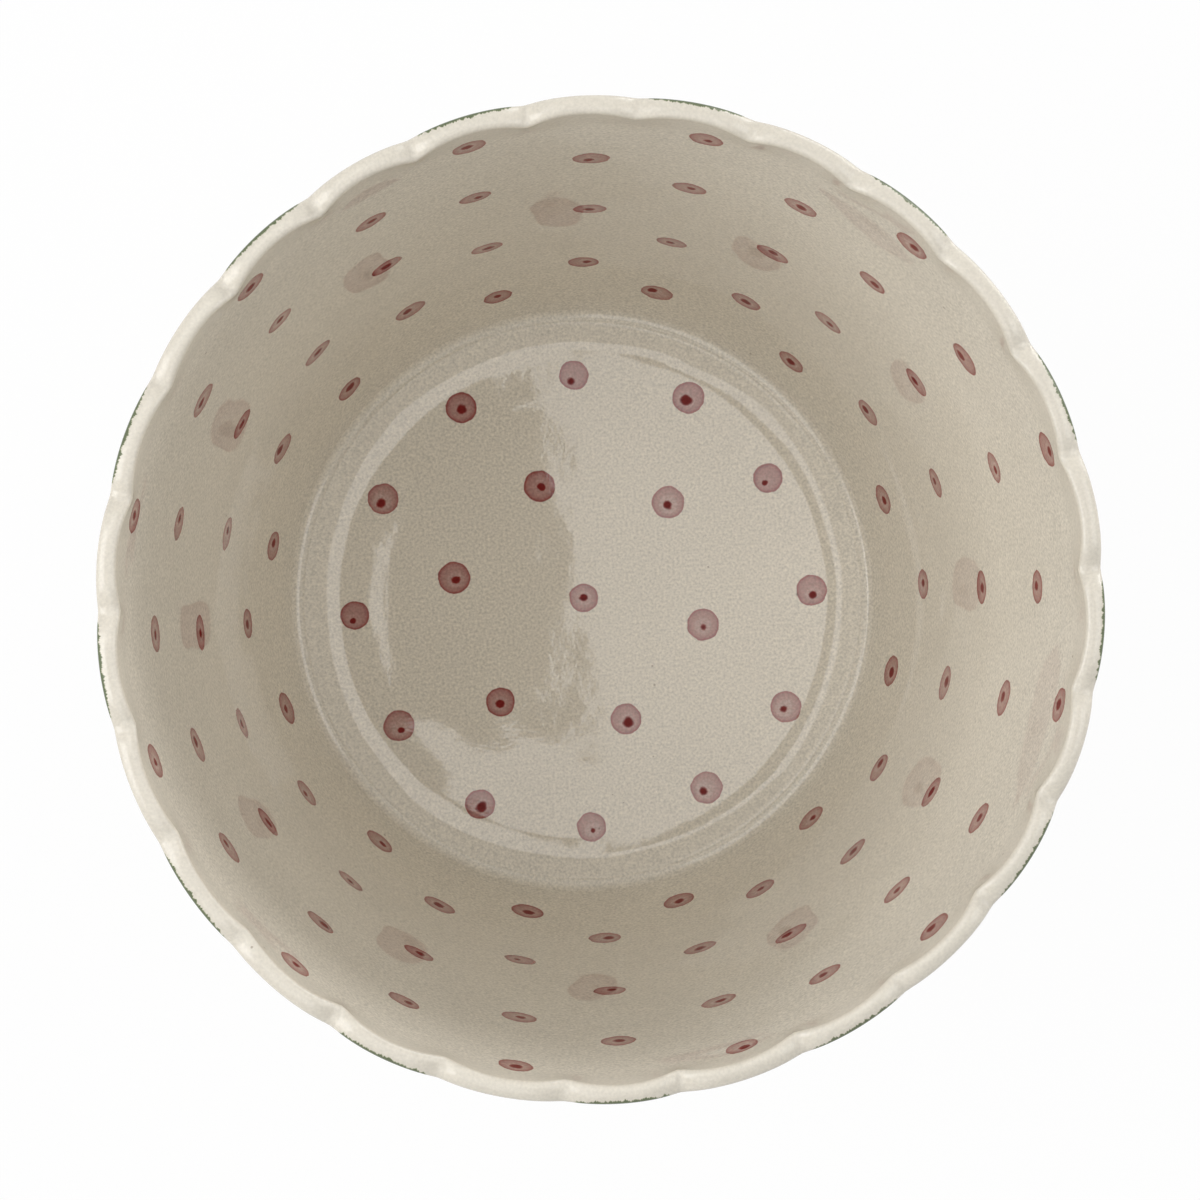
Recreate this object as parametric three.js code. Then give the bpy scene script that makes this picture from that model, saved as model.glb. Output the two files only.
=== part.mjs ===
// A deep stoneware bowl with a pinched, fluted lip.
// The clay body is a foot ring, a floor, a flared wall and a lip. A glassy coat of glaze covers it
// inside and outside, and leaves the foot bare. Millimetres, Z up, standing on Z = 0 about the Z axis.

import * as THREE from 'three';

// Overall sizes
const RIM_DIAMETER = 200; // outside, over the lobes of the lip, glazed
const HEIGHT = 160; // table to the highest point of the lip, glazed
const FLOOR_DIAMETER = 138; // of the clay, inside, at the corner of floor and wall

// Clay thicknesses; the wall and the lip are measured level
const WALL_THICKNESS = 4.2;
const LIP_THICKNESS = 3.1;
const FLOOR_THICKNESS = 4.6;
const GLAZE_THICKNESS = 0.4;

// Shape of the wall: straight from the lip down, curving in at the heel, with a cove at the floor
const WALL_FLARE = THREE.MathUtils.degToRad(8.2); // off upright
const HEEL_HEIGHT = 45; // above the floor, where the straight wall ends
const COVE_REACH = 3; // of the cove along the floor and up the wall

// The lip: a flat band on top of the wall, pinched from both sides between its lobes
const LIP_HEIGHT = 14;
const LIP_CHAMFER = 0.8;
const FLUTES = 26;
const PINCH_INSIDE = 1.2; // how far the ridge between two flutes stands in
const PINCH_OUTSIDE = 0.5; // how far the dent behind that ridge goes in
const PINCH_DROP = 0.9; // how far the lip dips there

// The foot is bare of glaze, as is the edge of the floor just above it
const FOOT_INSET = 9.4; // from the glaze's lower edge to the outside of the foot
const FOOT_WIDTH = 7;
const FOOT_HEIGHT = 5;
const FOOT_CHAMFER = 0.8;
const FOOT_SHOULDER = 2; // flat underside of the floor, from the foot to the rounded edge
const BARE_EDGE = 1.6; // height of bare clay between the foot and the glaze

// Facets
const STEPS_PER_FLUTE = 4;
const COVE_STEPS = 2;
const HEEL_STEPS = 3;
const EDGE_STEPS = 2;

const CLAY_FINISH = { color: '#c4b196', roughness: 0.85, metalness: 0 };
const GLAZE_FINISH = { color: '#ddd5c3', roughness: 0.12, metalness: 0 };

// Levels and radii that several pieces share
const floorTop = FOOT_HEIGHT + FLOOR_THICKNESS;
const glazeLine = FOOT_HEIGHT + BARE_EDGE;
const lipTop = HEIGHT - GLAZE_THICKNESS;
const lipBase = lipTop - LIP_HEIGHT;
const lipOuter = RIM_DIAMETER / 2 - GLAZE_THICKNESS;
const lipInner = lipOuter - LIP_THICKNESS;

// A point of an outline: radius, height, and how far a pinch moves it towards the axis and down.
function at(radius, height, inward = 0, down = 0) {
  return Object.assign(new THREE.Vector2(radius, height), { inward, down });
}

function sample(curve, steps) {
  return curve.getPoints(steps).map((point) => at(point.x, point.y));
}

// The straight inner wall runs through the inner edge of the lip.
function straightWall(height) {
  return at(lipInner - (lipTop - height) * Math.tan(WALL_FLARE), height);
}

// The inner face of the wall, from the toe of the cove up to the base of the lip.
function wallInside() {
  const corner = at(FLOOR_DIAMETER / 2, floorTop);
  const toe = at(corner.x - COVE_REACH, floorTop);
  const bend = straightWall(floorTop + HEEL_HEIGHT / 2);
  const heelTop = straightWall(floorTop + HEEL_HEIGHT);
  const coveTop = bend.clone().sub(corner).setLength(COVE_REACH).add(corner);
  const cove = new THREE.QuadraticBezierCurve(toe, corner, coveTop);
  const heel = new THREE.QuadraticBezierCurve(coveTop, bend, heelTop);
  return {
    cove: sample(cove, COVE_STEPS),
    upper: [...sample(heel, HEEL_STEPS).slice(1), straightWall(lipBase)],
  };
}

// The outer face, from the base of the lip down, and on down the edge of the floor to the glaze line.
function wallOutside({ cove, upper }) {
  const low = cove.at(-1);
  const slope = (upper[0].x - low.x) / (upper[0].y - low.y);
  const straightOn = (height) => at(low.x + (height - low.y) * slope, height);
  const line = [...upper.toReversed(), straightOn(floorTop), straightOn(glazeLine)];
  return line.map((point) => at(point.x + WALL_THICKNESS, point.y));
}

// A pinch is deepest at the top of the lip and fades out towards its base.
function pinched(radius, height, depth) {
  const fade = (1 - (lipTop - height) / LIP_HEIGHT) ** 2;
  return at(radius, height, depth * fade, PINCH_DROP * fade);
}

// The lip above its base: up the inside, over a flat crest with chamfered edges and down the outside.
function lipSection(outerBase) {
  const centre = (lipInner + lipOuter) / 2;
  const edge = lipTop - LIP_CHAMFER;
  const middle = (lipBase + edge) / 2;
  return {
    inner: [
      pinched(straightWall(middle).x, middle, PINCH_INSIDE),
      pinched(lipInner, edge, PINCH_INSIDE),
      pinched(lipInner + LIP_CHAMFER, lipTop, PINCH_INSIDE),
    ],
    crest: pinched(centre, lipTop, (PINCH_INSIDE + PINCH_OUTSIDE) / 2),
    outer: [
      pinched(lipOuter - LIP_CHAMFER, lipTop, PINCH_OUTSIDE),
      pinched(lipOuter, edge, PINCH_OUTSIDE),
      pinched((outerBase + lipOuter) / 2, middle, PINCH_OUTSIDE),
    ],
  };
}

// The face of a coat: each point of the clay moved out square to the surface.
function coatFace(line) {
  return line.map((point, index) => {
    const before = line[Math.max(index - 1, 0)];
    const after = line[Math.min(index + 1, line.length - 1)];
    const entering = point.clone().sub(before).normalize();
    const leaving = after.clone().sub(point).normalize();
    const along = entering.add(leaving).setLength(GLAZE_THICKNESS);
    return at(point.x - along.y, point.y + along.x, point.inward, point.down);
  });
}

// Moves the points of a turned outline towards the axis and down, at the pinches between the flutes.
function pinch(geometry, outline) {
  const position = geometry.attributes.position;
  for (let index = 0; index < position.count; index += 1) {
    const { inward, down } = outline[index % outline.length];
    const angle = Math.atan2(position.getY(index), position.getX(index));
    const ridge = 1 - Math.abs(Math.sin((FLUTES * angle) / 2));
    const radius = Math.hypot(position.getX(index), position.getY(index)) - inward * ridge;
    const height = position.getZ(index) - down * ridge;
    position.setXYZ(index, radius * Math.cos(angle), radius * Math.sin(angle), height);
  }
}

function turnFacesOut(geometry) {
  const corners = geometry.index.array;
  for (let first = 0; first < corners.length; first += 3) {
    [corners[first], corners[first + 1]] = [corners[first + 1], corners[first]];
  }
}

// Turns an outline about the Z axis. An outline that touches the axis starts and ends there. A coat's
// outline is turned backwards, so that its facets split along the diagonals of the clay that it lies on.
function turned(outline, isCoat) {
  const points = isCoat ? outline.toReversed() : [...outline];
  if (points[0].x > 0) {
    points.push(points[0]);
  }
  const geometry = new THREE.LatheGeometry(points, FLUTES * STEPS_PER_FLUTE);
  if (isCoat) {
    turnFacesOut(geometry);
  }
  geometry.rotateX(Math.PI / 2);
  pinch(geometry, points);
  geometry.computeVertexNormals();
  return geometry;
}

function clayPiece(name, outline) {
  const mesh = new THREE.Mesh(turned(outline, false), new THREE.MeshStandardMaterial(CLAY_FINISH));
  mesh.name = name;
  return mesh;
}

function glazePiece(name, clayFace, glazeFace) {
  const outline = [...clayFace, ...glazeFace.toReversed()];
  const mesh = new THREE.Mesh(turned(outline, true), new THREE.MeshStandardMaterial(GLAZE_FINISH));
  mesh.name = name;
  return mesh;
}

function footRing(outer) {
  const inner = outer - FOOT_WIDTH;
  return clayPiece('foot_ring', [
    at(inner + FOOT_CHAMFER, 0),
    at(outer - FOOT_CHAMFER, 0),
    at(outer, FOOT_CHAMFER),
    at(outer, FOOT_HEIGHT),
    at(inner, FOOT_HEIGHT),
    at(inner, FOOT_CHAMFER),
  ]);
}

// The wall stands on the rim of the floor. Its edge is glazed below the wall, then bare and rounded.
function floor(footOuter, edgeTop, edgeLow) {
  const shoulder = at(footOuter + FOOT_SHOULDER, FOOT_HEIGHT);
  const bareEdge = new THREE.QuadraticBezierCurve(shoulder, at(edgeLow.x, FOOT_HEIGHT), edgeLow);
  return clayPiece('floor', [
    at(0, FOOT_HEIGHT),
    ...sample(bareEdge, EDGE_STEPS),
    edgeTop,
    at(0, floorTop),
  ]);
}

function bowl() {
  const inside = wallInside();
  const outside = wallOutside(inside);
  const lip = lipSection(outside[0].x);
  const [edgeTop, edgeLow] = outside.slice(-2);
  const footOuter = edgeLow.x - FOOT_INSET;

  const wallFace = [...inside.cove, ...inside.upper];
  const wallBack = outside.slice(0, -1);
  const lipBand = [wallFace.at(-1), ...lip.inner, lip.crest, ...lip.outer, wallBack[0]];

  // One line over all the glazed clay: floor, inner wall, lip, outer wall, glaze line
  const innerClay = [at(0, floorTop), ...wallFace, ...lip.inner, lip.crest];
  const clay = [...innerClay, ...lip.outer, ...outside];
  const glaze = coatFace(clay);
  const crest = innerClay.length - 1;

  const group = new THREE.Group();
  group.name = 'bowl';
  group.add(
    footRing(footOuter),
    floor(footOuter, edgeTop, edgeLow),
    clayPiece('wall', [...wallFace, ...wallBack].reverse()),
    clayPiece('rim', lipBand.reverse()),
    glazePiece('inside_glaze', innerClay, glaze.slice(0, crest + 1)),
    glazePiece('outside_glaze', clay.slice(crest), glaze.slice(crest)),
  );
  return group;
}

export default bowl();
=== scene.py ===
# Looks of a deep stoneware bowl: a pinched lip, a glossy cream glaze with painted dots, a bare clay foot.
# Metres, Z up, standing on Z = 0 about the Z axis, in the frame of the CAD model.

import math

import bpy
import numpy as np
from mathutils import Matrix, Vector


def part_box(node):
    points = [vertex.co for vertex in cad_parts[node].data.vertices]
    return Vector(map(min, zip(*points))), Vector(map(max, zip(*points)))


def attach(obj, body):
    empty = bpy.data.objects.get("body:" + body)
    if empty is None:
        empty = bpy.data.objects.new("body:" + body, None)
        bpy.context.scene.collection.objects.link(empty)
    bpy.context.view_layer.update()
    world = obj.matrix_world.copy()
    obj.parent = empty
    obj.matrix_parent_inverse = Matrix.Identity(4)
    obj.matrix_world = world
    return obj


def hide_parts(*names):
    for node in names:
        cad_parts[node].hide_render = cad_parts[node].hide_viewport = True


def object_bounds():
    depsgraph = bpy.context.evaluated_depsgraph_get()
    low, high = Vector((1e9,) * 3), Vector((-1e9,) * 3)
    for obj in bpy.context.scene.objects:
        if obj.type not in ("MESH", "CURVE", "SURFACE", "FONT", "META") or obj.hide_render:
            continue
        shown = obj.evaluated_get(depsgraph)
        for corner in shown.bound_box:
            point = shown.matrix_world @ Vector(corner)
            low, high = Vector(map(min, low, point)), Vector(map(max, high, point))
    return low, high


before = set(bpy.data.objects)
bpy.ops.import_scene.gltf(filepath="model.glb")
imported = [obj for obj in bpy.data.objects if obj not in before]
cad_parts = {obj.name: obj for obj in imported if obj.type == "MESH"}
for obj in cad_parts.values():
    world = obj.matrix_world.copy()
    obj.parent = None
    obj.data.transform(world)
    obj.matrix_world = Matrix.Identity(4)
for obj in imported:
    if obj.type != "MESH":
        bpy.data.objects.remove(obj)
cad_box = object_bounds()

MM = 0.001
rng = np.random.default_rng(26)

# Sizes that the CAD model gives
FLOOR_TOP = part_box("inside_glaze")[0].z
LIP_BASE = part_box("rim")[0].z
LIP_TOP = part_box("rim")[1].z
LIP_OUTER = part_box("rim")[1].y
GLAZE_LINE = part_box("outside_glaze")[0].z
FLOOR_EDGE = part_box("floor")[1].x
FOOT_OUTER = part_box("foot_ring")[1].x
FOOT_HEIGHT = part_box("foot_ring")[1].z

# Section of the clay, as in the CAD model
GLAZE = 0.4 * MM
WALL = 4.2 * MM
LIP = 3.1 * MM
FLOOR_RADIUS = 69 * MM
WALL_FLARE = math.radians(8.2)
HEEL_HEIGHT = 45 * MM
COVE_REACH = 3 * MM
FOOT_WIDTH = 7 * MM
FOOT_SHOULDER = 2 * MM

# The lip: pinched between finger and thumb
FLUTES = 26
PINCH_INSIDE = 1.2 * MM
PINCH_OUTSIDE = 0.5 * MM
PINCH_DROP = 2.2 * MM
NOTCH_POWER = 3  # narrows the dip of the lip at a pinch
PINCH_SOFTNESS = 0.12  # none makes the ridges sharp
PINCH_SPREAD = 0.25  # how unlike each other the pinches are in depth
PINCH_JITTER = math.radians(0.5)
PINCH_DRIFT = math.radians(1.2)
PINCH_DRIFT_AT = math.radians(6)
INNER_ROUND = 1.0 * MM  # of the clay, at the inner edge of the crest
OUTER_ROUND = 0.8 * MM
CREST_LEAN = math.radians(36)  # of the crest at its outer edge; at its inner one it is level

# Out of round, at the lip: count of lobes, size and direction. It grows with height by a power.
WARPS = (
    (2, 0.56 * MM, math.radians(38)),
    (3, 0.11 * MM, math.radians(-14)),
    (4, 0.28 * MM, math.radians(-17)),
)
WARP_POWER = 1.5

# Relief: the floor has a shallow trough and turns up towards the wall, a tool left a level ledge with a
# groove in the corner, and the wall is thrown
TROUGH_RADIUS = 52.5 * MM
TROUGH_WIDTH = 5.5 * MM
TROUGH_DEPTH = 0.12 * MM
DISH_START = 57 * MM
DISH_FULL = 63.5 * MM
DISH_SLOPE = math.tan(math.radians(12))
LEDGE_START = 66.7 * MM
LEDGE_END = 68.3 * MM
LEDGE_CUT = 0.105 / MM  # takes the curve out of the cove, up to the end of the ledge
GROOVE_RADIUS = 67.5 * MM
GROOVE_WIDTH = 0.2 * MM
GROOVE_DEPTH = 0.05 * MM
RIPPLE_PITCH = 9.5 * MM
RIPPLE_SIZE = 0.012 * MM
UNDER_LIP_DEPTH = 0.12 * MM  # of the soft hollow on the inside, below the lip
UNDER_LIP_AT = 8 * MM
UNDER_LIP_WIDTH = 3.5 * MM

# Bare underside: a little hollow, with the lines that trimming left, and worn edges
HOLLOW_DEPTH = 0.5 * MM
TRIM_LINE_SIZE = 0.12 * MM
TRIM_LINE_PITCH = 4.2 * MM
TRIM_LINE_START = 12 * MM
BARE_EDGE_INSET = 0.55 * MM
FOOT_ROUND = 1.2 * MM

# Painted dots. Angles are those of the photograph, which is turned by PHOTO_TURN from the frame.
PHOTO_TURN = math.radians(3.65)
WALL_DOT_HEIGHTS = [height * MM for height in (149.2, 127.1, 111.2, 86.0, 64.4, 40.3, 25.2)]
DOTS_PER_ROW = 12
ROW_STARTS = (math.radians(19), math.radians(3.3))  # of the first row and every other one, and of the rest
DRIFT_MEAN = math.radians(-0.86)
DRIFTS = (
    (1, math.radians(1.16), math.radians(-157)),
    (2, math.radians(1.35), math.radians(32)),
    (3, math.radians(0.69), math.radians(32)),
)
DOT_RADIUS = 3.75 * MM
FLOOR_DOT_RINGS = ((0.5 * MM, 1, 0.0), (30.3 * MM, 6, math.radians(50)), (54.3 * MM, 12, math.radians(3)))
DOT_SIZES = (0.93, 1.07)  # smallest and largest dot, in dot radii
WALL_DOT_JITTER = 0.42 * MM
FLOOR_DOT_JITTER = 0.7 * MM
WALL_CORES = (0.29, 0.45)  # smallest and largest core, in dot radii
FLOOR_CORES = (0.20, 0.42)
WALL_STRENGTHS = (1.1, 1.5)  # palest and strongest dot
FLOOR_STRENGTHS = (1.1, 1.45)
WALL_CORE_JITTER = 0.13  # of a core from the middle of its dot, in dot radii
FLOOR_CORE_PULL = (0.15, 0.45)  # the same on the floor, where cores are pulled one way
FLOOR_CORE_WAY = -0.5 * math.pi
FLOOR_CORE_SPREAD = 0.5
FULL_PULL_RADIUS = 50 * MM

# Brush strokes over the edge of every other flute, in from the outside
STROKE_HALF_WIDTH = 0.42  # of a flute
STROKE_LENGTH = 30  # mm along the surface from the middle of the crest, as are the next two
STROKE_START = 0.7
STROKE_TIP_ROUND = 0.8  # how much later the sides of a stroke start
STROKE_TIP_RAGGED = 3.0  # how much bristles shift the start, in mm
STROKE_TIP_SOFT = 0.4  # mm from bare glaze to full colour
STROKE_TAIL_RAGGED = 0.9  # how much bristles shift the end, in stroke lengths
BRISTLES = (7.0, 1.5)  # noise waves across half a stroke, and along all of it
NO_STROKE = 9  # a place across a stroke that is well off it
SEED_SHIFT = 40  # how far apart in the noise two strokes can be
STROKE_SIDE = (1.08, 0.98)  # where colour starts and where it is full, in half widths
STROKE_SIDE_RAGGED = 0.16
STROKE_END = (1.0, 0.72)  # where colour ends and up to where it is full, in stroke lengths
STROKE_LOAD = (0.95, 0.45)  # how thick the colour is at the start and at the end
STREAKS = (0.12, 0.34)  # bristle noise in a dry streak, and where the colour is full
STREAK_GROWTH = 0.35  # how much dry streaks spread along a stroke
STREAK_COLOUR = 0.25  # share of the colour that is left in a dry streak

# Mesh steps
FINE = 2  # multiplies most steps of the section, for the glaze, which is seen
COARSE = 1  # the same, for the clay under it
STEPS_PER_FLUTE = 18
HIDDEN_STEPS_PER_FLUTE = 6
FLOOR_STEPS = 26
DISH_STEPS = 14
COVE_STEPS = 24
HEEL_STEPS = 14
WALL_STEPS = 10
LIP_SIDE_STEPS = 6
LIP_ROUND_STEPS = 5
CROWN_STEPS = 4
FLOOR_EDGE_STEPS = 6
COAT_BACK_ROWS = 24
UNDERSIDE_POINTS = 90
BARE_EDGE_STEPS = 12
FOOT_ROUND_STEPS = 6

# Finishes, in linear colour
GLAZE_COLOUR = (0.72, 0.67, 0.575)
CLAY_COLOUR = (0.56, 0.44, 0.31)
CLEAR = (1.0, 1.0, 1.0)
DOT_WASH = (0.57, 0.345, 0.345)
DOT_DEEP = (0.40, 0.12, 0.12)
DOT_CORE = (0.25, 0.025, 0.025)
STROKE_WASH = (0.42, 0.48, 0.33)
STROKE_DEEP = (0.12, 0.17, 0.085)
SPECK_COLOUR = (0.35, 0.28, 0.22, 1)
GROG_COLOUR = (0.55, 0.45, 0.36, 1)
STAGE_WHITE = (0.86, 0.86, 0.86, 1)
CARD_GREY = (0.35, 0.35, 0.35, 1)

# Colour by how thick it lies
DOT_STAINS = ((0.0, CLEAR), (0.25, DOT_WASH), (0.5, DOT_DEEP), (0.85, DOT_CORE))
STROKE_STAINS = ((0.0, CLEAR), (0.45, STROKE_WASH), (1.0, STROKE_DEEP))

# Relief of the glaze, as noise: waves per metre, and size in millimetres
GLAZE_WAVES = (42, 0.24)
ORANGE_PEEL = (150, 0.03)
GLAZE_GRAIN = (1500, 0.004)
THROWING_LINES = ((22, 22, 520), 0.002)
WALL_CALM = 0.14  # share of the peel and the grain that the wall has
CALM_RISE = 1.5 * MM  # height above the floor at which it is reached

# Gloss, as roughness
GLOSSY = 0.008
SATIN = 0.2
SATIN_FROM = 4 * MM  # below the top of the lip, as is the next one
SATIN_TO = 1 * MM
GLOSS_CLOUDS = (120, 0.03)  # noise waves per metre, and the roughness that they add
GLAZE_IOR = 1.5
GLAZE_SPECULAR = 0.5
CORE_SPECULAR = 0.04  # of a dot's core: thick colour is dry

# Colour of the glaze, as noise: waves per metre, and share of its brightness
CLOUDS = (38, 0.08)
MOTTLE = (1600, 0.9)
LIP_MOTTLE = 0.3

# Iron specks in the glaze: each cell can hold one, and few do
SPECK_CELLS = 170.0  # per metre
SPECK_PATCHES = 60  # noise waves per metre
SPECK_SHOWS = (0.58, 0.75)  # level of that noise with no speck, and with one of full size
SPECK_SIZE = 0.055  # in cells
SPECK_STRENGTH = 0.6

# Dots: how thick the wash is at shares of the radius, up to the edge, where it pools, and what the core adds
DOT_WASH_DEPTHS = (
    (0.0, 0.21),
    (0.45, 0.20),
    (0.65, 0.22),
    (0.80, 0.27),
    (0.90, 0.36),
    (0.95, 0.42),
    (1.0, 0.0),
)
DOT_CORE_DEPTH = 0.75
DOT_EDGE = (1.03, 0.95)  # where colour starts and where it is full, in dot radii
DOT_WOBBLE = 420  # noise waves per metre
DOT_EDGE_WOBBLE = 0.2  # in dot radii, as is the next one
CORE_EDGE_WOBBLE = 0.4
CORE_SOLID = 0.5  # share of a core's radius within which it is full
CORE_HALO = (0.66, 0.44)  # dot radii from a core, between which the wash gets thinner
CORE_HALO_DEPTH = 0.03
DOT_GRAIN = (1700, 0.5)  # noise waves per metre, and size

# Bare clay, as noise in waves per metre: clouds, grains of grog, and a rough surface
CLAY_CLOUDS = 55
CLAY_TONES = (0.86, 1.12)  # darkest and palest, as a share of CLAY_COLOUR
CLAY_ROUGHNESS = (0.7, 0.9)
GROG = 1300
GROG_SHOWS = (0.62, 0.74)  # level of the noise with no grain, and with a full one
GROG_STRENGTH = 0.5
GROG_RELIEF = 0.12  # millimetres
CLAY_GRAIN = (420, 0.10)  # with its size in millimetres

# Stage
STAGE_HALF = 3.0
STAGE_ROUGHNESS = 0.9
STAGE_SHOWN = 0.95  # share of plain white in what the camera and mirrors see of it

# Light: all round, from overhead with a gap for the camera, and from panels at the sides
WORLD_LEVEL = 0.3
OVERHEAD_HEIGHT = 1.01
OVERHEAD = ((-0.19, 0.19), (-0.19, 0.19))  # reach along X and Y
GAP = ((-0.105, 0.015), (-0.076, 0.141))
OVERHEAD_RADIANCE = 1.95
PANELS = {  # degrees round from +X, degrees up, width, height and radiance
    "key": (180, 32, 1.0, 0.8, 3.9),
    "near": (240, 55, 1.0, 0.8, 1.35),
    "side": (0, 40, 1.0, 0.8, 1.9),
    "back": (135, 55, 1.0, 0.8, 1.6),
    "strip": (45, 7, 1.4, 0.3, 7.5),
}
PANEL_DISTANCE = 1.5
LIT_POINT = Vector((0, 0, 0.12))  # what the panels face

# Camera, as worked out from the photograph
EYE_HEIGHT = 0.864
EYE_OFFSET = 0.0218
LENS = 106.84
SENSOR_WIDTH = 36
CLIP_END = 20
AIM_OFFSET = 0.43 * MM  # of the middle of the picture from the bowl's axis, at the lip


# Outlines: arrays of (radius, height), from the axis over the floor, the wall and the lip, to the foot

def bezier(start, control, end, steps):
    t = np.linspace(0, 1, steps + 1)[1:, None]
    return (1 - t) ** 2 * start + 2 * t * (1 - t) * control + t**2 * end


def straight(start, end, steps):
    t = np.linspace(0, 1, steps + 1)[1:, None]
    return start + (end - start) * t


def arc(centre, radius, start, end, steps):
    angle = np.linspace(start, end, steps + 1)
    return centre + radius * np.stack((np.cos(angle), np.sin(angle)), 1)


def straight_wall(height):
    inner = LIP_OUTER - LIP
    return np.array((inner - (LIP_TOP - height) * math.tan(WALL_FLARE), height))


def wall_section(fine):
    """The inner face of the clay from the axis up to the base of the lip, and the outer face down again."""
    corner = np.array((FLOOR_RADIUS, FLOOR_TOP))
    centre = np.array((0.0, FLOOR_TOP))
    toe = corner - (COVE_REACH, 0)
    bend = straight_wall(FLOOR_TOP + HEEL_HEIGHT / 2)
    heel_top = straight_wall(FLOOR_TOP + HEEL_HEIGHT)
    up = (bend - corner) / np.linalg.norm(bend - corner)
    cove_top = corner + up * COVE_REACH
    flat_end = np.array((DISH_START, FLOOR_TOP))
    floor = np.vstack((
        centre,
        straight(centre, flat_end, FLOOR_STEPS),
        straight(flat_end, toe, DISH_STEPS * fine),
    ))
    wall = np.vstack((
        bezier(toe, corner, cove_top, COVE_STEPS * fine),
        bezier(cove_top, bend, heel_top, HEEL_STEPS * fine),
        straight(heel_top, straight_wall(LIP_BASE), WALL_STEPS * fine),
    ))
    outside = wall[COVE_STEPS * fine:][::-1] + (WALL, 0)
    lowest = outside[-2] - outside[-1]
    foot_of_coat = outside[-1] - lowest / lowest[1] * (outside[-1][1] - GLAZE_LINE)
    floor_edge = straight(outside[-1], foot_of_coat, FLOOR_EDGE_STEPS * fine)
    return floor, wall, np.vstack((outside, floor_edge))


def lip_section(fine, outer_base):
    """The lip above its base: up the inside, over a crest that falls outwards, down the outside."""
    inner_centre = np.array((LIP_OUTER - LIP + INNER_ROUND, LIP_TOP - INNER_ROUND))
    inner_edge = arc(inner_centre, INNER_ROUND, math.pi, math.pi / 2, LIP_ROUND_STEPS * fine)
    turn = math.pi / 2 - CREST_LEAN
    half = (LIP - INNER_ROUND - OUTER_ROUND * (1 - math.cos(turn))) / 2
    fall = half * math.tan(CREST_LEAN)
    outer_centre = np.array((LIP_OUTER - OUTER_ROUND, LIP_TOP - fall - OUTER_ROUND * math.sin(turn)))
    outer_edge = arc(outer_centre, OUTER_ROUND, turn, 0, LIP_ROUND_STEPS * fine)
    crown = bezier(inner_edge[-1], inner_edge[-1] + (half, 0), outer_edge[0], CROWN_STEPS * fine)
    crest = np.vstack((inner_edge, crown, outer_edge[1:]))
    inner = straight(straight_wall(LIP_BASE), crest[0], LIP_SIDE_STEPS * fine)
    outer = straight(crest[-1], outer_base, LIP_SIDE_STEPS * fine)
    return inner, crest[1:], outer


def normals_of(line):
    """Unit normals of an outline, to its left: into the bowl on the inside, away from it on the outside."""
    along = np.gradient(line, axis=0)
    along /= np.linalg.norm(along, axis=1)[:, None]
    return np.stack((-along[:, 1], along[:, 0]), 1)


def smooth_step(low, high, value):
    t = np.clip((value - low) / (high - low), 0, 1)
    return t * t * (3 - 2 * t)


def bump_at(value, centre, width):
    return np.exp(-(((value - centre) / width) ** 2))


def dish_rise(radius):
    """Height of the dished floor: its slope grows to DISH_SLOPE and then stays."""
    turning = np.clip(radius, DISH_START, DISH_FULL) - DISH_START
    beyond = np.maximum(radius - DISH_FULL, 0)
    return DISH_SLOPE * (turning**2 / (2 * (DISH_FULL - DISH_START)) + beyond)


class Section:
    """The clay's outline, how far pinches move each point, and where the crest and the floor are in it."""

    def __init__(self, fine):
        floor, wall, outside = wall_section(fine)
        inner, crest, outer = lip_section(fine, outside[0])
        self.clay = np.vstack((floor, wall, inner, crest, outer, outside[1:]))
        self.toe = len(floor) - 1
        self.cove_top = self.toe + COVE_STEPS * fine
        self.lip_start = len(floor) + len(wall) - 1
        first = self.lip_start + len(inner)
        self.crest = first + len(crest) // 2
        self.lip_end = first + len(crest) + len(outer)
        side = np.clip((np.arange(len(self.clay)) - first) / len(crest), 0, 1)
        height = self.clay[:, 1]
        fade = np.clip(1 - (LIP_TOP - height) / (LIP_TOP - LIP_BASE), 0, 1) ** 2
        self.inward = fade * (PINCH_INSIDE + (PINCH_OUTSIDE - PINCH_INSIDE) * side)
        self.drop = fade * PINCH_DROP
        self.glaze = self.clay + normals_of(self.clay) * (GLAZE + self.relief(side))[:, None]
        self.glaze[0, 0] = 0

    def relief(self, side):
        """What the surface has beyond the plain section, square to it."""
        radius, height = self.clay.T
        inside = np.arange(len(radius)) < self.lip_start
        past_toe = smooth_step(0, COVE_REACH, height - FLOOR_TOP)
        toe = FLOOR_RADIUS - COVE_REACH
        floor = dish_rise(np.minimum(radius, LEDGE_START))
        floor = floor - LEDGE_CUT * (np.clip(radius, toe, LEDGE_END) - toe) ** 2
        floor = floor - GROOVE_DEPTH * bump_at(radius, GROOVE_RADIUS, GROOVE_WIDTH)
        floor = floor - TROUGH_DEPTH * bump_at(radius, TROUGH_RADIUS, TROUGH_WIDTH)
        below_lip = smooth_step(0, UNDER_LIP_AT, LIP_TOP - height)
        ripples = RIPPLE_SIZE * np.cos(2 * math.pi * height / RIPPLE_PITCH) * below_lip
        hollow = UNDER_LIP_DEPTH * bump_at(height, LIP_TOP - UNDER_LIP_AT, UNDER_LIP_WIDTH) * below_lip
        on_floor = np.where(inside, (1 - past_toe) * floor, 0)
        return past_toe * ripples + on_floor - np.where(side == 0, hollow, 0)


# The hand made lip

def pinch_angles():
    k = np.arange(FLUTES)
    even = 2 * math.pi * k / FLUTES
    drift = PINCH_DRIFT * (np.cos(even - PINCH_DRIFT_AT) - math.cos(PINCH_DRIFT_AT))
    return even + drift + rng.uniform(-PINCH_JITTER, PINCH_JITTER, FLUTES)


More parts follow.
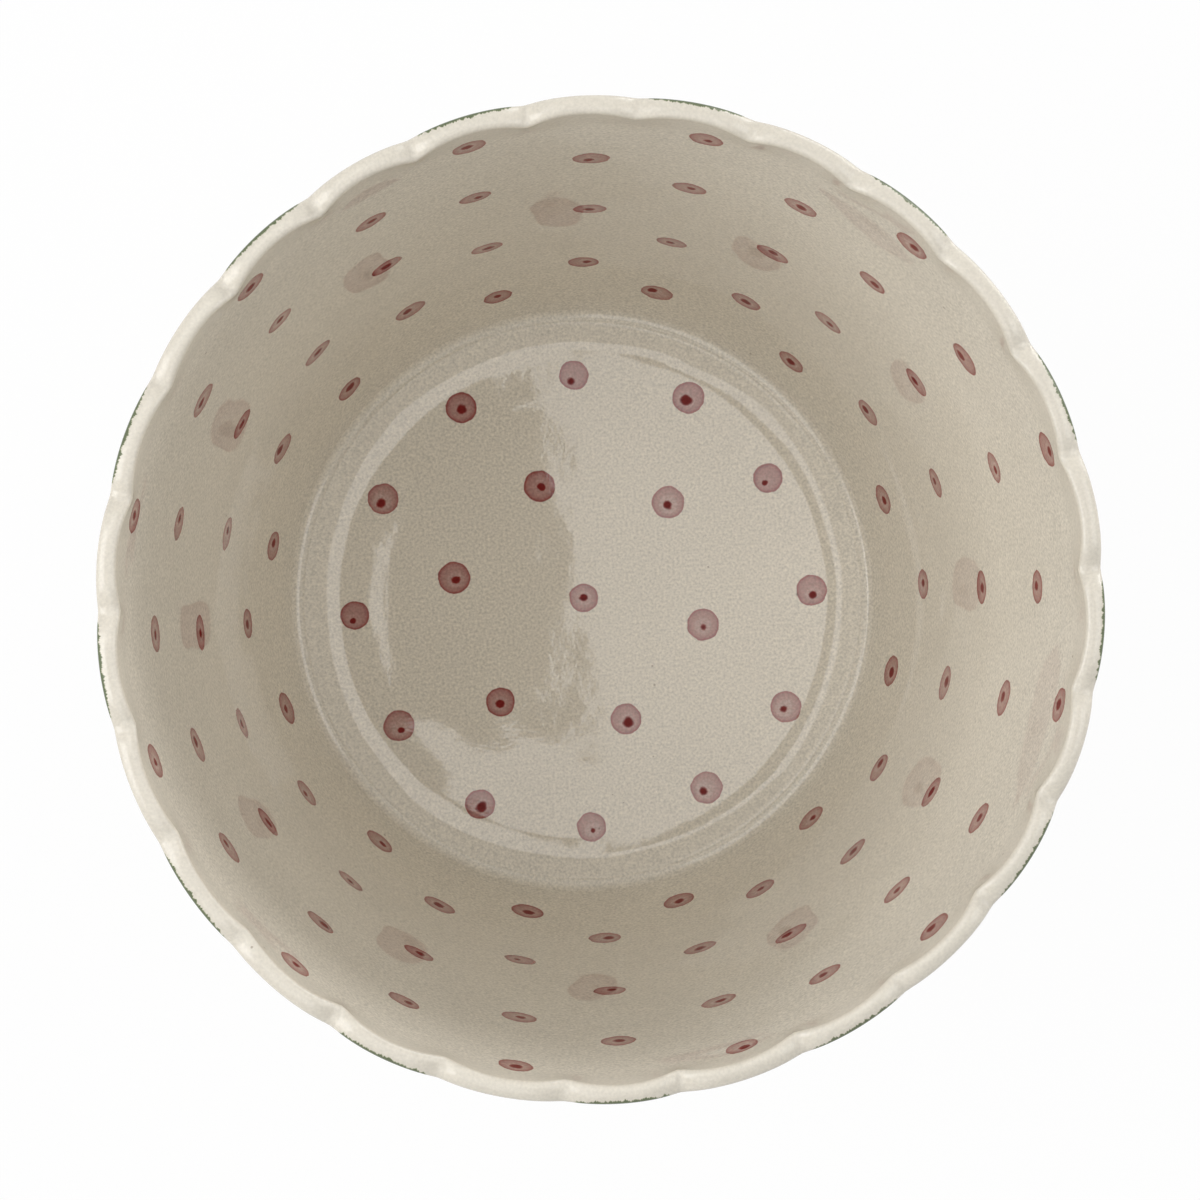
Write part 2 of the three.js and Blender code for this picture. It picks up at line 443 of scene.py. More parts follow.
PINCHES = pinch_angles()
PINCH_DEPTHS = 1 + rng.uniform(-PINCH_SPREAD, PINCH_SPREAD, FLUTES)


class Around:
    """Directions round the axis, with the pinches on them."""

    def __init__(self, steps):
        ends = np.append(PINCHES, PINCHES[0] + 2 * math.pi)
        self.flute = np.repeat(np.arange(FLUTES), steps)
        self.share = np.tile(np.arange(steps) / steps, FLUTES)
        self.angle = ends[self.flute] + self.share * (ends[self.flute + 1] - ends[self.flute])
        arch = np.sqrt(np.sin(math.pi * self.share) ** 2 + PINCH_SOFTNESS**2)
        top = math.sqrt(1 + PINCH_SOFTNESS**2)
        depth = np.append(PINCH_DEPTHS, PINCH_DEPTHS[0])
        blend = smooth_step(0, 1, self.share)
        self.depth = depth[self.flute] * (1 - blend) + depth[self.flute + 1] * blend
        self.ridge = (top - arch) / (top - PINCH_SOFTNESS)
        self.count = len(self.angle)


def spun(line, inward, drop, around):
    """The outline turned round the axis, warped and pinched: an array of rows of points."""
    radius, height = line.T
    growth = np.clip(height / LIP_TOP, 0, 1) ** WARP_POWER * np.minimum(radius / LIP_OUTER, 1)
    warp = sum(size * np.cos(count * (around.angle - at)) for count, size, at in WARPS)
    pinch = around.ridge * around.depth
    notch = around.ridge**NOTCH_POWER * around.depth
    r = radius[:, None] + np.outer(growth, warp) - np.outer(inward, pinch)
    z = np.broadcast_to(height[:, None], r.shape) - np.outer(drop, notch)
    return np.stack((r * np.cos(around.angle), r * np.sin(around.angle), z), 2)


def surface_normals(grid):
    """Normals of a spun outline, towards the outline's left."""
    along = np.gradient(grid, axis=0)
    across = (np.roll(grid, -1, 1) - np.roll(grid, 1, 1)) / 2
    normal = np.cross(along, across)
    size = np.linalg.norm(normal, axis=2, keepdims=True)
    flat = size < 1e-15
    return np.where(flat, (0.0, 0.0, 1.0), normal / np.where(flat, 1, size))


# Meshes made of rows of points round the axis

class Rows:
    """A closed body: rows of points, joined in turn. A row on the axis is one point."""

    def __init__(self, rows, closed):
        self.points = np.vstack([row[:1] if self.on_axis(row) else row for row in rows])
        starts = np.cumsum([0] + [1 if self.on_axis(row) else len(row) for row in rows])
        quads = []
        triangles = []
        following = list(range(1, len(rows))) + ([0] if closed else [])
        for low, high in enumerate(following):
            self.join(rows, starts, low, high, quads, triangles)
        self.quads = np.vstack(quads)
        self.triangles = np.vstack(triangles) if triangles else np.zeros((0, 3), int)
        if self.volume() < 0:
            self.quads = self.quads[:, ::-1]
            self.triangles = self.triangles[:, ::-1]
        self.corners = np.concatenate((self.quads.ravel(), self.triangles.ravel()))
        self.face_of_corner = np.concatenate((
            np.repeat(np.arange(len(self.quads)), 4),
            np.repeat(np.arange(len(self.triangles)) + len(self.quads), 3)))
        self.centres = np.vstack((self.points[self.quads].mean(1), self.points[self.triangles].mean(1)))

    @staticmethod
    def on_axis(row):
        return bool(np.all(np.hypot(row[:, 0], row[:, 1]) < 1e-9))

    def join(self, rows, starts, low, high, quads, triangles):
        count = max(len(rows[low]), len(rows[high]))
        here = np.arange(count)
        after = (here + 1) % count
        if self.on_axis(rows[low]) and self.on_axis(rows[high]):
            return
        if self.on_axis(rows[low]):
            pole = np.full(count, starts[low])
            triangles.append(np.stack((pole, starts[high] + after, starts[high] + here), 1))
        elif self.on_axis(rows[high]):
            pole = np.full(count, starts[high])
            triangles.append(np.stack((starts[low] + here, starts[low] + after, pole), 1))
        else:
            a, b = starts[low], starts[high]
            quads.append(np.stack((a + here, a + after, b + after, b + here), 1))

    def volume(self):
        split = np.vstack((self.quads[:, (0, 1, 2)], self.quads[:, (0, 2, 3)], self.triangles))
        a, b, c = (self.points[split[:, k]] for k in range(3))
        return np.einsum("ij,ij->", a, np.cross(b, c)) / 6

    def mesh(self, name):
        faces = self.quads.tolist() + self.triangles.tolist()
        mesh = bpy.data.meshes.new(name)
        mesh.from_pydata(self.points.tolist(), [], faces)
        mesh.shade_smooth()
        return mesh


def set_corners(mesh, name, values):
    attribute = mesh.attributes.new(name, "FLOAT_VECTOR", "CORNER")
    attribute.data.foreach_set("vector", values.astype(np.float32).ravel())


def set_normals(mesh, rows, normals):
    """Smooth normals where they are known; elsewhere a face has its own."""
    a, b, c = (rows.points[rows.quads[:, k]] for k in range(3))
    quad_normals = np.cross(b - a, c - a)
    a, b, c = (rows.points[rows.triangles[:, k]] for k in range(3))
    flat = np.vstack((quad_normals, np.cross(b - a, c - a)))
    flat /= np.maximum(np.linalg.norm(flat, axis=1), 1e-20)[:, None]
    known = np.isfinite(normals).all(1)
    per_face = np.ones(len(flat), bool)
    np.logical_and.at(per_face, rows.face_of_corner, known[rows.corners])
    smooth = per_face[rows.face_of_corner]
    chosen = np.where(smooth[:, None], normals[rows.corners], flat[rows.face_of_corner])
    mesh.normals_split_custom_set(chosen.tolist())


def finish_piece(name, mesh, material):
    piece = bpy.data.objects.new(name + "_finish", mesh)
    bpy.context.scene.collection.objects.link(piece)
    mesh.materials.append(material)
    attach(piece, "root")
    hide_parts(name)


def coat(section, first, last, around):
    """A coat of glaze between two points of the section: its face, and its back on the clay."""
    span = slice(first, last + 1)
    face = spun(section.glaze[span], section.inward[span], section.drop[span], around)
    normals = surface_normals(spun(section.glaze, section.inward, section.drop, around))[span]
    backs = np.unique(np.linspace(first, last, COAT_BACK_ROWS).astype(int))
    back = spun(section.clay[backs], section.inward[backs], section.drop[backs], around)[::-1]
    rows = Rows(list(face) + list(back), True)
    known = normals.reshape(-1, 3)
    if Rows.on_axis(face[0]):
        known = np.vstack(((0.0, 0.0, 1.0), normals[1:].reshape(-1, 3)))
    unknown = np.full((len(rows.points) - len(known), 3), np.nan)
    return rows, np.vstack((known, unknown))


# Painted decoration, as places on the glaze

class Dots:
    """Where the dots are: centre, the two directions along the surface, size, and how each was painted."""

    def __init__(self, section):
        self.rows = []
        self.on_wall(section)
        self.on_floor(section)
        self.centre, self.across, self.up, self.radius, self.core, self.strength, cores = (
            np.array(column) for column in zip(*self.rows))
        self.core_size = rng.uniform(cores[:, 0], cores[:, 1])

    def add(self, centre, across, up, core, strength, cores):
        self.rows.append((centre, across, up, DOT_RADIUS * rng.uniform(*DOT_SIZES), core, strength, cores))

    def on_wall(self, section):
        wall = section.glaze[section.cove_top:section.lip_start]
        for row, height in enumerate(WALL_DOT_HEIGHTS):
            for column in range(DOTS_PER_ROW):
                seen = ROW_STARTS[row % 2] + 2 * math.pi * column / DOTS_PER_ROW
                seen += DRIFT_MEAN + sum(size * math.cos(n * (seen - at)) for n, size, at in DRIFTS)
                z = height + rng.normal(0, WALL_DOT_JITTER)
                r = np.interp(z, wall[:, 1], wall[:, 0])
                lean = (np.interp(z + MM, wall[:, 1], wall[:, 0]) - r) / MM
                angle = seen - PHOTO_TURN + rng.normal(0, WALL_DOT_JITTER) / r
                out = np.array((math.cos(angle), math.sin(angle), 0))
                up = (out * lean + (0, 0, 1)) / math.hypot(lean, 1)
                across = np.array((-out[1], out[0], 0))
                core = rng.normal(0, WALL_CORE_JITTER, 2)
                strength = rng.uniform(*WALL_STRENGTHS)
                self.add(out * r + (0, 0, z), across, up, core, strength, WALL_CORES)

    def on_floor(self, section):
        right = np.array((math.cos(PHOTO_TURN), -math.sin(PHOTO_TURN), 0))
        up = np.array((math.sin(PHOTO_TURN), math.cos(PHOTO_TURN), 0))
        for radius, count, start in FLOOR_DOT_RINGS:
            for k in range(count):
                angle = start + 2 * math.pi * k / count
                place = radius * np.array((math.cos(angle), math.sin(angle)))
                place = place + rng.normal(0, FLOOR_DOT_JITTER, 2)
                centre = right * place[0] + up * place[1] + (0, 0, section.glaze[0, 1])
                turn = rng.normal(FLOOR_CORE_WAY, FLOOR_CORE_SPREAD)
                pull = rng.uniform(*FLOOR_CORE_PULL) * min(1, radius / FULL_PULL_RADIUS)
                core = pull * np.array((math.cos(turn), math.sin(turn)))
                strength = rng.uniform(*FLOOR_STRENGTHS)
                self.add(centre, right, up, core, strength, FLOOR_CORES)

    def paint(self, rows, mesh):
        """Gives each corner its place in the dot nearest to its face, in dot radii, and that dot's ways."""
        nearest = np.array([
            np.argmin(((self.centre - centre) ** 2).sum(1)) for centre in rows.centres])
        dot = nearest[rows.face_of_corner]
        reach = rows.points[rows.corners] - self.centre[dot]
        place = np.stack((
            np.einsum("ij,ij->i", reach, self.across[dot]) / self.radius[dot],
            np.einsum("ij,ij->i", reach, self.up[dot]) / self.radius[dot],
            self.core_size[dot]), 1)
        set_corners(mesh, "dot_place", place)
        set_corners(mesh, "dot_ways", np.column_stack((self.core[dot], self.strength[dot])))


def paint_strokes(rows, mesh, around, section):
    """Gives each corner its place in its flute's stroke: across it, millimetres down it, and a seed."""
    face = section.glaze[section.crest:]
    along = np.append(0, np.cumsum(np.linalg.norm(np.diff(face, axis=0), axis=1))) / MM
    row = rows.corners // around.count
    down = along[np.minimum(row, len(along) - 1)]
    ends = np.append(PINCHES, PINCHES[0] + 2 * math.pi)
    turn = (np.arctan2(rows.centres[:, 1], rows.centres[:, 0]) - PINCHES[0]) % (2 * math.pi) + PINCHES[0]
    flute = np.clip(np.searchsorted(ends, turn, "right") - 1, 0, FLUTES - 1)[rows.face_of_corner]
    points = rows.points[rows.corners]
    angle = np.arctan2(points[:, 1], points[:, 0])
    middle = (ends[flute] + ends[flute + 1]) / 2
    width = ends[flute + 1] - ends[flute]
    across = ((angle - middle + math.pi) % (2 * math.pi) - math.pi) / (width * STROKE_HALF_WIDTH)
    seeds = rng.uniform(0, 1, FLUTES)
    painted = flute % 2 == 1
    across = np.where(painted, across, NO_STROKE)
    set_corners(mesh, "stroke_place", np.column_stack((across, down, seeds[flute])))


# Materials

class Nodes:
    """A material's node tree, with one short call for each node."""

    def __init__(self, name):
        self.material = bpy.data.materials.new(name)
        self.material.use_nodes = True
        self.tree = self.material.node_tree
        self.shader = self.tree.nodes["Principled BSDF"]
        self.place = self.add("ShaderNodeTexCoord", output="Object")
        self.height = self.add("ShaderNodeSeparateXYZ", {0: self.place}, "Z")

    def add(self, kind, inputs=None, output=0, **settings):
        node = self.tree.nodes.new(kind)
        for key, value in settings.items():
            setattr(node, key, value)
        self.fill(node, inputs or {})
        return node.outputs[output]

    def fill(self, node, inputs):
        for key, value in inputs.items():
            if isinstance(value, bpy.types.NodeSocket):
                self.tree.links.new(value, node.inputs[key])
            else:
                node.inputs[key].default_value = value

    def set(self, **inputs):
        self.fill(self.shader, {key.replace("_", " "): value for key, value in inputs.items()})

    def math(self, operation, a, b=0.0, c=0.0):
        return self.add("ShaderNodeMath", {0: a, 1: b, 2: c}, operation=operation)

    def vector(self, operation, a, b=(0, 0, 0), output=0):
        return self.add("ShaderNodeVectorMath", {0: a, 1: b}, output, operation=operation)

    def noise(self, scale, detail=2.0, vector=None, roughness=0.5):
        inputs = {"Vector": vector or self.place, "Scale": scale, "Detail": detail, "Roughness": roughness}
        return self.add("ShaderNodeTexNoise", inputs)

    def stretched(self, scales):
        return self.vector("MULTIPLY", self.place, scales)

    def ramp_between(self, value, low, high, to_low=0.0, to_high=1.0):
        inputs = {"Value": value, "From Min": low, "From Max": high, "To Min": to_low, "To Max": to_high}
        return self.add("ShaderNodeMapRange", inputs, interpolation_type="SMOOTHSTEP")

    def curve(self, value, stops):
        """A value or a colour that follows stops of (place, colour), straight between them."""
        node = self.tree.nodes.new("ShaderNodeValToRGB")
        ramp = node.color_ramp
        while len(ramp.elements) < len(stops):
            ramp.elements.new(0.5)
        for element, (at, colour) in zip(ramp.elements, stops):
            element.position = at
            element.color = (*colour, 1) if isinstance(colour, tuple) else (colour, colour, colour, 1)
        self.tree.links.new(value, node.inputs[0])
        return node.outputs[0]

    def blend(self, mode, factor, a, b):
        node = self.tree.nodes.new("ShaderNodeMix")
        node.data_type = "RGBA"
        node.blend_type = mode
        self.fill(node, {0: factor, 6: a, 7: b})
        return node.outputs[2]

    def attribute(self, name):
        value = self.add("ShaderNodeAttribute", output="Vector", attribute_name=name)
        split = self.tree.nodes.new("ShaderNodeSeparateXYZ")
        self.tree.links.new(value, split.inputs[0])
        return split.outputs[0], split.outputs[1], split.outputs[2]


def glaze_colour(nodes):
    """Cream, clouded, with a fine mottle and a few iron specks."""
    cloud_scale, cloud_size = CLOUDS
    mottle_scale, mottle_size = MOTTLE
    clouds = nodes.math("MULTIPLY_ADD", nodes.noise(cloud_scale, 3), cloud_size, 1 - cloud_size / 2)
    fade = nodes.ramp_between(nodes.height, LIP_BASE, LIP_TOP, mottle_size, LIP_MOTTLE)
    mottle = nodes.math("SUBTRACT", nodes.noise(mottle_scale, 2), 0.5)
    level = nodes.math("MULTIPLY_ADD", mottle, fade, clouds)
    colour = nodes.vector("SCALE", GLAZE_COLOUR)
    nodes.tree.links.new(level, colour.node.inputs["Scale"])
    cell = nodes.add("ShaderNodeTexVoronoi", {"Vector": nodes.place, "Scale": SPECK_CELLS}, "Distance")
    chance = nodes.noise(SPECK_PATCHES, 0)
    size = nodes.ramp_between(chance, *SPECK_SHOWS, 0.0, SPECK_SIZE)
    speck = nodes.math("MULTIPLY", nodes.math("LESS_THAN", cell, size), SPECK_STRENGTH)
    return nodes.blend("MULTIPLY", speck, colour, SPECK_COLOUR)


def glaze_bump(nodes):
    """Waves of the glaze, its orange peel, its grain, and the throwing lines of the wall."""
    wave_scale, wave_size = GLAZE_WAVES
    peel_scale, peel_size = ORANGE_PEEL
    grain_scale, grain_size = GLAZE_GRAIN
    line_scales, line_size = THROWING_LINES
    waves = nodes.math("MULTIPLY", nodes.noise(wave_scale, 1), wave_size)
    peel = nodes.math("MULTIPLY", nodes.noise(peel_scale, 3, roughness=0.55), peel_size)
    fine = nodes.math("MULTIPLY_ADD", nodes.noise(grain_scale, 1), grain_size, peel)
    floor_face = FLOOR_TOP + GLAZE
    calm = nodes.ramp_between(nodes.height, floor_face, floor_face + CALM_RISE, 1.0, WALL_CALM)
    lines = nodes.math("MULTIPLY", nodes.noise(1, 2, nodes.stretched(line_scales)), line_size)
    height = nodes.math("MULTIPLY_ADD", fine, calm, nodes.math("ADD", waves, lines))
    return nodes.add("ShaderNodeBump", {"Strength": 1.0, "Distance": MM, "Height": height}, "Normal")


def glaze_shader(nodes, colour):
    """Glossy, and satin on the lip, where the glaze is thin."""
    cloud_scale, cloud_size = GLOSS_CLOUDS
    satin = nodes.ramp_between(nodes.height, LIP_TOP - SATIN_FROM, LIP_TOP - SATIN_TO, GLOSSY, SATIN)
    nodes.set(
        Base_Color=colour,
        Roughness=nodes.math("MULTIPLY_ADD", nodes.noise(cloud_scale, 2), cloud_size, satin),
        IOR=GLAZE_IOR,
        Normal=glaze_bump(nodes),
    )


def dotted_glaze():
    """The glaze of the inside, over dots of thin colour that each have a thick core."""
    nodes = Nodes("cream_glaze_dotted")
    grain_scale, grain_size = DOT_GRAIN
    across, up, core_size = nodes.attribute("dot_place")
    core_across, core_up, strength = nodes.attribute("dot_ways")
    wobble = nodes.math("SUBTRACT", nodes.noise(DOT_WOBBLE, 3), 0.5)
    grain = nodes.math("SUBTRACT", nodes.noise(grain_scale, 2), 0.5)
    off = nodes.add("ShaderNodeCombineXYZ", {0: across, 1: up})
    core_off = nodes.add("ShaderNodeCombineXYZ", {0: core_across, 1: core_up})
    away = nodes.vector("LENGTH", off, output="Value")
    away = nodes.math("MULTIPLY_ADD", wobble, DOT_EDGE_WOBBLE, away)
    wash = nodes.curve(away, DOT_WASH_DEPTHS)
    from_core = nodes.vector("LENGTH", nodes.vector("SUBTRACT", off, core_off), output="Value")
    from_core = nodes.math("MULTIPLY_ADD", wobble, CORE_EDGE_WOBBLE, from_core)
    core = nodes.ramp_between(from_core, core_size, nodes.math("MULTIPLY", core_size, CORE_SOLID))
    halo = nodes.math("MULTIPLY", nodes.ramp_between(from_core, *CORE_HALO), CORE_HALO_DEPTH)
    uneven = nodes.math("MULTIPLY_ADD", grain, grain_size, strength)
    thin = nodes.math("MULTIPLY", nodes.math("SUBTRACT", wash, halo), uneven)
    depth = nodes.math("MULTIPLY_ADD", core, DOT_CORE_DEPTH, thin)
    inside = nodes.ramp_between(away, *DOT_EDGE)
    stain = nodes.curve(nodes.math("MULTIPLY", depth, inside), DOT_STAINS)
    glaze_shader(nodes, nodes.blend("MULTIPLY", 1.0, glaze_colour(nodes), stain))
    dry = CORE_SPECULAR - GLAZE_SPECULAR
    nodes.set(Specular_IOR_Level=nodes.math("MULTIPLY_ADD", core, dry, GLAZE_SPECULAR))
    return nodes.material


def brushed_glaze():
    """The glaze of the outside, over brush strokes that run dry."""
    nodes = Nodes("cream_glaze_brushed")
    across, down, seed = nodes.attribute("stroke_place")
    shift = nodes.math("MULTIPLY", seed, SEED_SHIFT)
    share = nodes.math("DIVIDE", down, STROKE_LENGTH)
    bristles_across = nodes.math("MULTIPLY_ADD", across, BRISTLES[0], shift)
    bristles_along = nodes.math("MULTIPLY", share, BRISTLES[1])
    bristle_place = nodes.add("ShaderNodeCombineXYZ", {0: bristles_across, 1: bristles_along})
    bristles = nodes.noise(1.0, 4, bristle_place, 0.7)
    uneven = nodes.math("SUBTRACT", bristles, 0.5)
    side = nodes.math("MULTIPLY_ADD", bristles, STROKE_SIDE_RAGGED, nodes.math("ABSOLUTE", across))
    width = nodes.ramp_between(side, *STROKE_SIDE)
    off_middle = nodes.math("MULTIPLY", across, across)
    late = nodes.math("MULTIPLY_ADD", off_middle, STROKE_TIP_ROUND, STROKE_START)
    past_tip = nodes.math("SUBTRACT", down, late)
    past_tip = nodes.math("MULTIPLY_ADD", uneven, STROKE_TIP_RAGGED, past_tip)
    start = nodes.ramp_between(past_tip, 0.0, STROKE_TIP_SOFT)
    tail = nodes.math("MULTIPLY_ADD", uneven, STROKE_TAIL_RAGGED, share)
    end = nodes.ramp_between(tail, *STROKE_END)
    wet = nodes.math("MULTIPLY_ADD", share, -STREAK_GROWTH, bristles)
    wet = nodes.ramp_between(wet, *STREAKS, STREAK_COLOUR, 1.0)
    load = nodes.math("MULTIPLY_ADD", share, STROKE_LOAD[1] - STROKE_LOAD[0], STROKE_LOAD[0])
    depth = nodes.math("MULTIPLY", nodes.math("MULTIPLY", width, start), nodes.math("MULTIPLY", end, load))
    stain = nodes.curve(nodes.math("MULTIPLY", depth, wet), STROKE_STAINS)
    glaze_shader(nodes, nodes.blend("MULTIPLY", 1.0, glaze_colour(nodes), stain))
    return nodes.material


def bare_clay():
    """Fired stoneware: buff and grainy, with darker grog."""
    nodes = Nodes("bare_stoneware")
    grain_scale, grain_size = CLAY_GRAIN
    smoothest, roughest = CLAY_ROUGHNESS
    tone = nodes.noise(CLAY_CLOUDS, 4)
    grog = nodes.noise(GROG, 3)
    darker, paler = ((*(share * part for part in CLAY_COLOUR), 1) for share in CLAY_TONES)
    colour = nodes.blend("MIX", tone, darker, paler)
    dark = nodes.ramp_between(grog, *GROG_SHOWS, 0.0, GROG_STRENGTH)
    colour = nodes.blend("MULTIPLY", dark, colour, GROG_COLOUR)
    grain = nodes.math("MULTIPLY", nodes.noise(grain_scale, 3), grain_size)
    height = nodes.math("MULTIPLY_ADD", grog, GROG_RELIEF, grain)
    bump = nodes.add("ShaderNodeBump", {"Strength": 1.0, "Distance": MM, "Height": height}, "Normal")
    nodes.set(
        Base_Color=colour,
        Roughness=nodes.math("MULTIPLY_ADD", tone, roughest - smoothest, smoothest),
        Normal=bump,
    )
    return nodes.material


# Pieces

def glazed_pieces():
    section = Section(FINE)
    around = Around(STEPS_PER_FLUTE)
    last = len(section.clay) - 1

    rows, normals = coat(section, 0, section.crest, around)
    mesh = rows.mesh("inside_glaze_finish")
    set_normals(mesh, rows, normals)
    Dots(section).paint(rows, mesh)
    finish_piece("inside_glaze", mesh, dotted_glaze())

    rows, normals = coat(section, section.crest, last, around)
    mesh = rows.mesh("outside_glaze_finish")
    set_normals(mesh, rows, normals)
    paint_strokes(rows, mesh, around, section)
    finish_piece("outside_glaze", mesh, brushed_glaze())


def clay_pieces():
    clay = bare_clay()
    section = Section(COARSE)
    around = Around(HIDDEN_STEPS_PER_FLUTE)
    lip = slice(section.lip_start, section.lip_end)
    grid = spun(section.clay, section.inward, section.drop, around)
    finish_piece("rim", Rows(list(grid[lip]), True).mesh("rim_finish"), clay)
    inner = grid[section.toe:section.lip_start + 1]
    outer = grid[section.lip_end - 1:]
    outer = outer[outer[:, :, 2].mean(1) >= FLOOR_TOP - 1e-6]
    finish_piece("wall", Rows(list(inner) + list(outer), True).mesh("wall_finish"), clay)
    floor_piece(clay, around)
    foot_piece(clay, around)


def floor_piece(clay, around):
    """The bare underside, with the lines that trimming left, and the rounded edge up to the wall."""
    foot_inner = FOOT_OUTER - FOOT_WIDTH
    radius = np.linspace(0, FOOT_OUTER + FOOT_SHOULDER, UNDERSIDE_POINTS)
    lines = TRIM_LINE_SIZE * np.cos(2 * math.pi * radius / TRIM_LINE_PITCH)
    lines = lines * smooth_step(0, TRIM_LINE_START, radius)
    hollow = HOLLOW_DEPTH * (1 - smooth_step(0, foot_inner, radius))
    under = np.stack((radius, FOOT_HEIGHT + (hollow + lines) * (radius < foot_inner)), 1)
    shoulder = under[-1]
    edge_low = np.array((FLOOR_EDGE - BARE_EDGE_INSET, GLAZE_LINE))
    edge_top = np.array((FLOOR_EDGE, FLOOR_TOP))
    edge = bezier(shoulder, np.array((edge_low[0], FOOT_HEIGHT)), edge_low, BARE_EDGE_STEPS)
    top = np.array(((0.0, FLOOR_TOP),))
    line = np.vstack((under, edge, edge_top[None], top))
    still = np.zeros(len(line))
    rows = Rows(list(spun(line, still, still, around)), False)
    finish_piece("floor", rows.mesh("floor_finish"), clay)


def foot_piece(clay, around):
    """The ring that the bowl stands on, with its edges rounded by trimming and wear."""
    outer = FOOT_OUTER
    inner = FOOT_OUTER - FOOT_WIDTH
    corners = (
        ((inner, FOOT_ROUND), (inner, 0), (inner + FOOT_ROUND, 0)),
        ((outer - FOOT_ROUND, 0), (outer, 0), (outer, FOOT_ROUND)),
    )
    line = [np.array(((inner, FOOT_HEIGHT),))]
    for start, corner, end in corners:
        start, corner, end = np.array(start), np.array(corner), np.array(end)
        line.append(start[None])
        line.append(bezier(start, corner, end, FOOT_ROUND_STEPS))
    line.append(np.array(((outer, FOOT_HEIGHT),)))
    line = np.vstack(line)
    still = np.zeros(len(line))
    rows = Rows(list(spun(line, still, still, around)), True)
    finish_piece("foot_ring", rows.mesh("foot_ring_finish"), clay)


# Stage, light and camera

def stage_floor():
    """A plain white floor. The camera sees it nearly white, and it keeps the bowl's shadow."""
    mesh = bpy.data.meshes.new("stage_floor")
    ways = ((-1, -1), (1, -1), (1, 1), (-1, 1))
    corners = [(x * STAGE_HALF, y * STAGE_HALF, 0) for x, y in ways]
    mesh.from_pydata(corners, [], [(0, 1, 2, 3)])
    floor = bpy.data.objects.new("stage_floor", mesh)
    bpy.context.scene.collection.objects.link(floor)
    nodes = Nodes("stage_white")
    tree = nodes.tree
    nodes.set(Base_Color=STAGE_WHITE, Roughness=STAGE_ROUGHNESS)
    glow = nodes.add("ShaderNodeEmission", {"Color": (1, 1, 1, 1), "Strength": 1.0})
    path = tree.nodes.new("ShaderNodeLightPath")
    seen = nodes.math("MAXIMUM", path.outputs["Is Camera Ray"], path.outputs["Is Glossy Ray"])
    seen = nodes.math("MAXIMUM", seen, path.outputs["Is Transmission Ray"])
    seen = nodes.math("MULTIPLY", seen, STAGE_SHOWN)
    mix = nodes.add("ShaderNodeMixShader", {0: seen, 1: nodes.shader.outputs[0], 2: glow})
    tree.links.new(mix, tree.nodes["Material Output"].inputs["Surface"])
    mesh.materials.append(nodes.material)


def world_light():
    """Even light from all round. The camera, mirrors and glass see it as white."""
    world = bpy.data.worlds.new("studio")
    bpy.context.scene.world = world
    world.use_nodes = True
    tree = world.node_tree
    background = tree.nodes["Background"]
    path = tree.nodes.new("ShaderNodeLightPath")
    shown = path.outputs["Is Camera Ray"]
    for kind in ("Is Glossy Ray", "Is Transmission Ray"):
        either = tree.nodes.new("ShaderNodeMath")
        either.operation = "MAXIMUM"
        tree.links.new(shown, either.inputs[0])
        tree.links.new(path.outputs[kind], either.inputs[1])
        shown = either.outputs[0]
    level = tree.nodes.new("ShaderNodeMapRange")
    level.inputs["To Min"].default_value = WORLD_LEVEL
    level.inputs["To Max"].default_value = 1.0
    tree.links.new(shown, level.inputs["Value"])
    tree.links.new(level.outputs[0], background.inputs["Strength"])
    background.inputs["Color"].default_value = (1, 1, 1, 1)


def softbox(name, place, target, width, height, radiance):
    """A panel of light at a place, facing a target."""
    light = bpy.data.lights.new(name, "AREA")
    light.shape = "RECTANGLE"
    light.size = width
    light.size_y = height
    light.energy = radiance * math.pi * width * height
    panel = bpy.data.objects.new(name, light)
    bpy.context.scene.collection.objects.link(panel)
    panel.location = place
    panel.rotation_euler = (target - place).to_track_quat("-Z", "Y").to_euler()
    panel.visible_camera = False


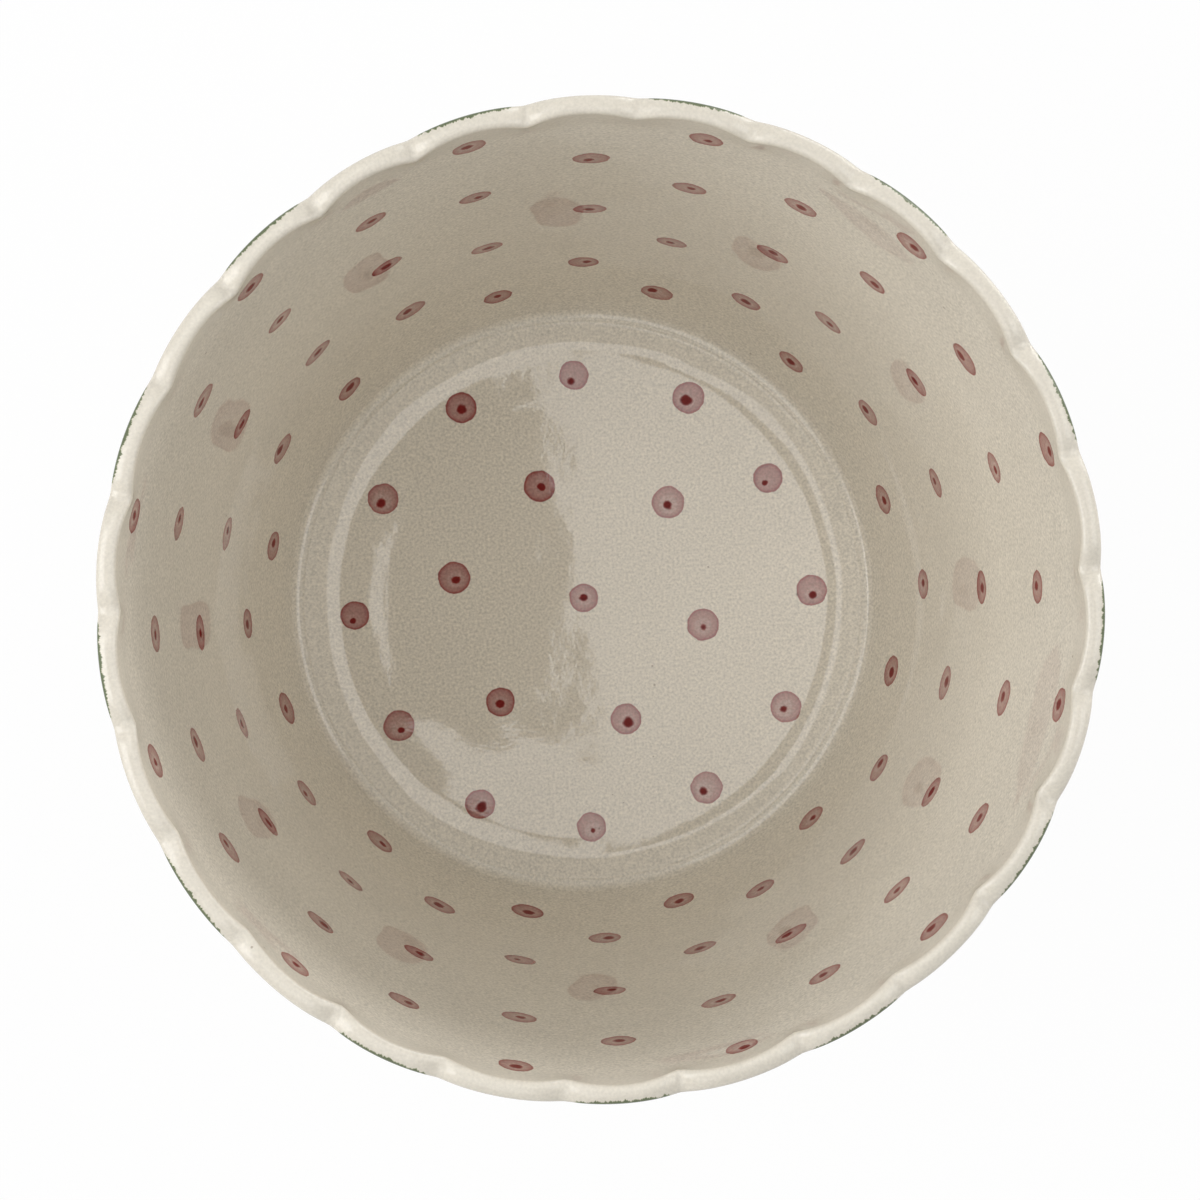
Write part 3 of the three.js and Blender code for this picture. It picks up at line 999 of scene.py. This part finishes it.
def camera():
    right = Vector((math.cos(PHOTO_TURN), -math.sin(PHOTO_TURN), 0))
    up = Vector((math.sin(PHOTO_TURN), math.cos(PHOTO_TURN), 0))
    eye = right * -EYE_OFFSET + Vector((0, 0, EYE_HEIGHT))
    target = right * -AIM_OFFSET + Vector((0, 0, cad_box[1][2]))
    back = (eye - target).normalized()
    side = up.cross(back).normalized()
    view = Matrix((side, back.cross(side), back)).transposed().to_4x4()
    data = bpy.data.cameras.new("camera")
    data.lens = LENS
    data.sensor_width = SENSOR_WIDTH
    data.clip_end = CLIP_END
    cam = bpy.data.objects.new("camera", data)
    bpy.context.scene.collection.objects.link(cam)
    cam.matrix_world = Matrix.Translation(eye) @ view
    bpy.context.scene.camera = cam


def overhead_light():
    """A softbox over the bowl with a gap for the camera, as four panels round the gap."""
    (x0, x1), (y0, y1) = OVERHEAD
    (a0, a1), (b0, b1) = GAP
    panels = {
        "left": (x0, a0, y0, y1),
        "right": (a1, x1, y0, y1),
        "near": (a0, a1, y0, b0),
        "far": (a0, a1, b1, y1),
    }
    for name, (left, right, near, far) in panels.items():
        place = Vector(((left + right) / 2, (near + far) / 2, OVERHEAD_HEIGHT))
        below = Vector((place.x, place.y, 0))
        softbox("overhead_" + name, place, below, right - left, far - near, OVERHEAD_RADIANCE)


def dark_card():
    """Grey, in the gap. It stands for the camera and its mount, which the glaze mirrors as a dark patch."""
    (a0, a1), (b0, b1) = GAP
    mesh = bpy.data.meshes.new("dark_card")
    corners = [(x, y, OVERHEAD_HEIGHT) for x, y in ((a0, b0), (a1, b0), (a1, b1), (a0, b1))]
    mesh.from_pydata(corners, [], [(0, 1, 2, 3)])
    card = bpy.data.objects.new("dark_card", mesh)
    bpy.context.scene.collection.objects.link(card)
    nodes = Nodes("dark_card")
    nodes.set(Base_Color=CARD_GREY, Roughness=1.0)
    mesh.materials.append(nodes.material)
    card.visible_camera = False


def side_light():
    for name, (azimuth, elevation, width, height, radiance) in PANELS.items():
        turn = math.radians(azimuth)
        rise = math.radians(elevation)
        way = Vector((math.cos(rise) * math.cos(turn), math.cos(rise) * math.sin(turn), math.sin(rise)))
        softbox(name, LIT_POINT + way * PANEL_DISTANCE, LIT_POINT, width, height, radiance)


def main():
    glazed_pieces()
    clay_pieces()
    stage_floor()
    world_light()
    overhead_light()
    dark_card()
    side_light()
    camera()
    bpy.context.scene.view_settings.view_transform = "Standard"


main()
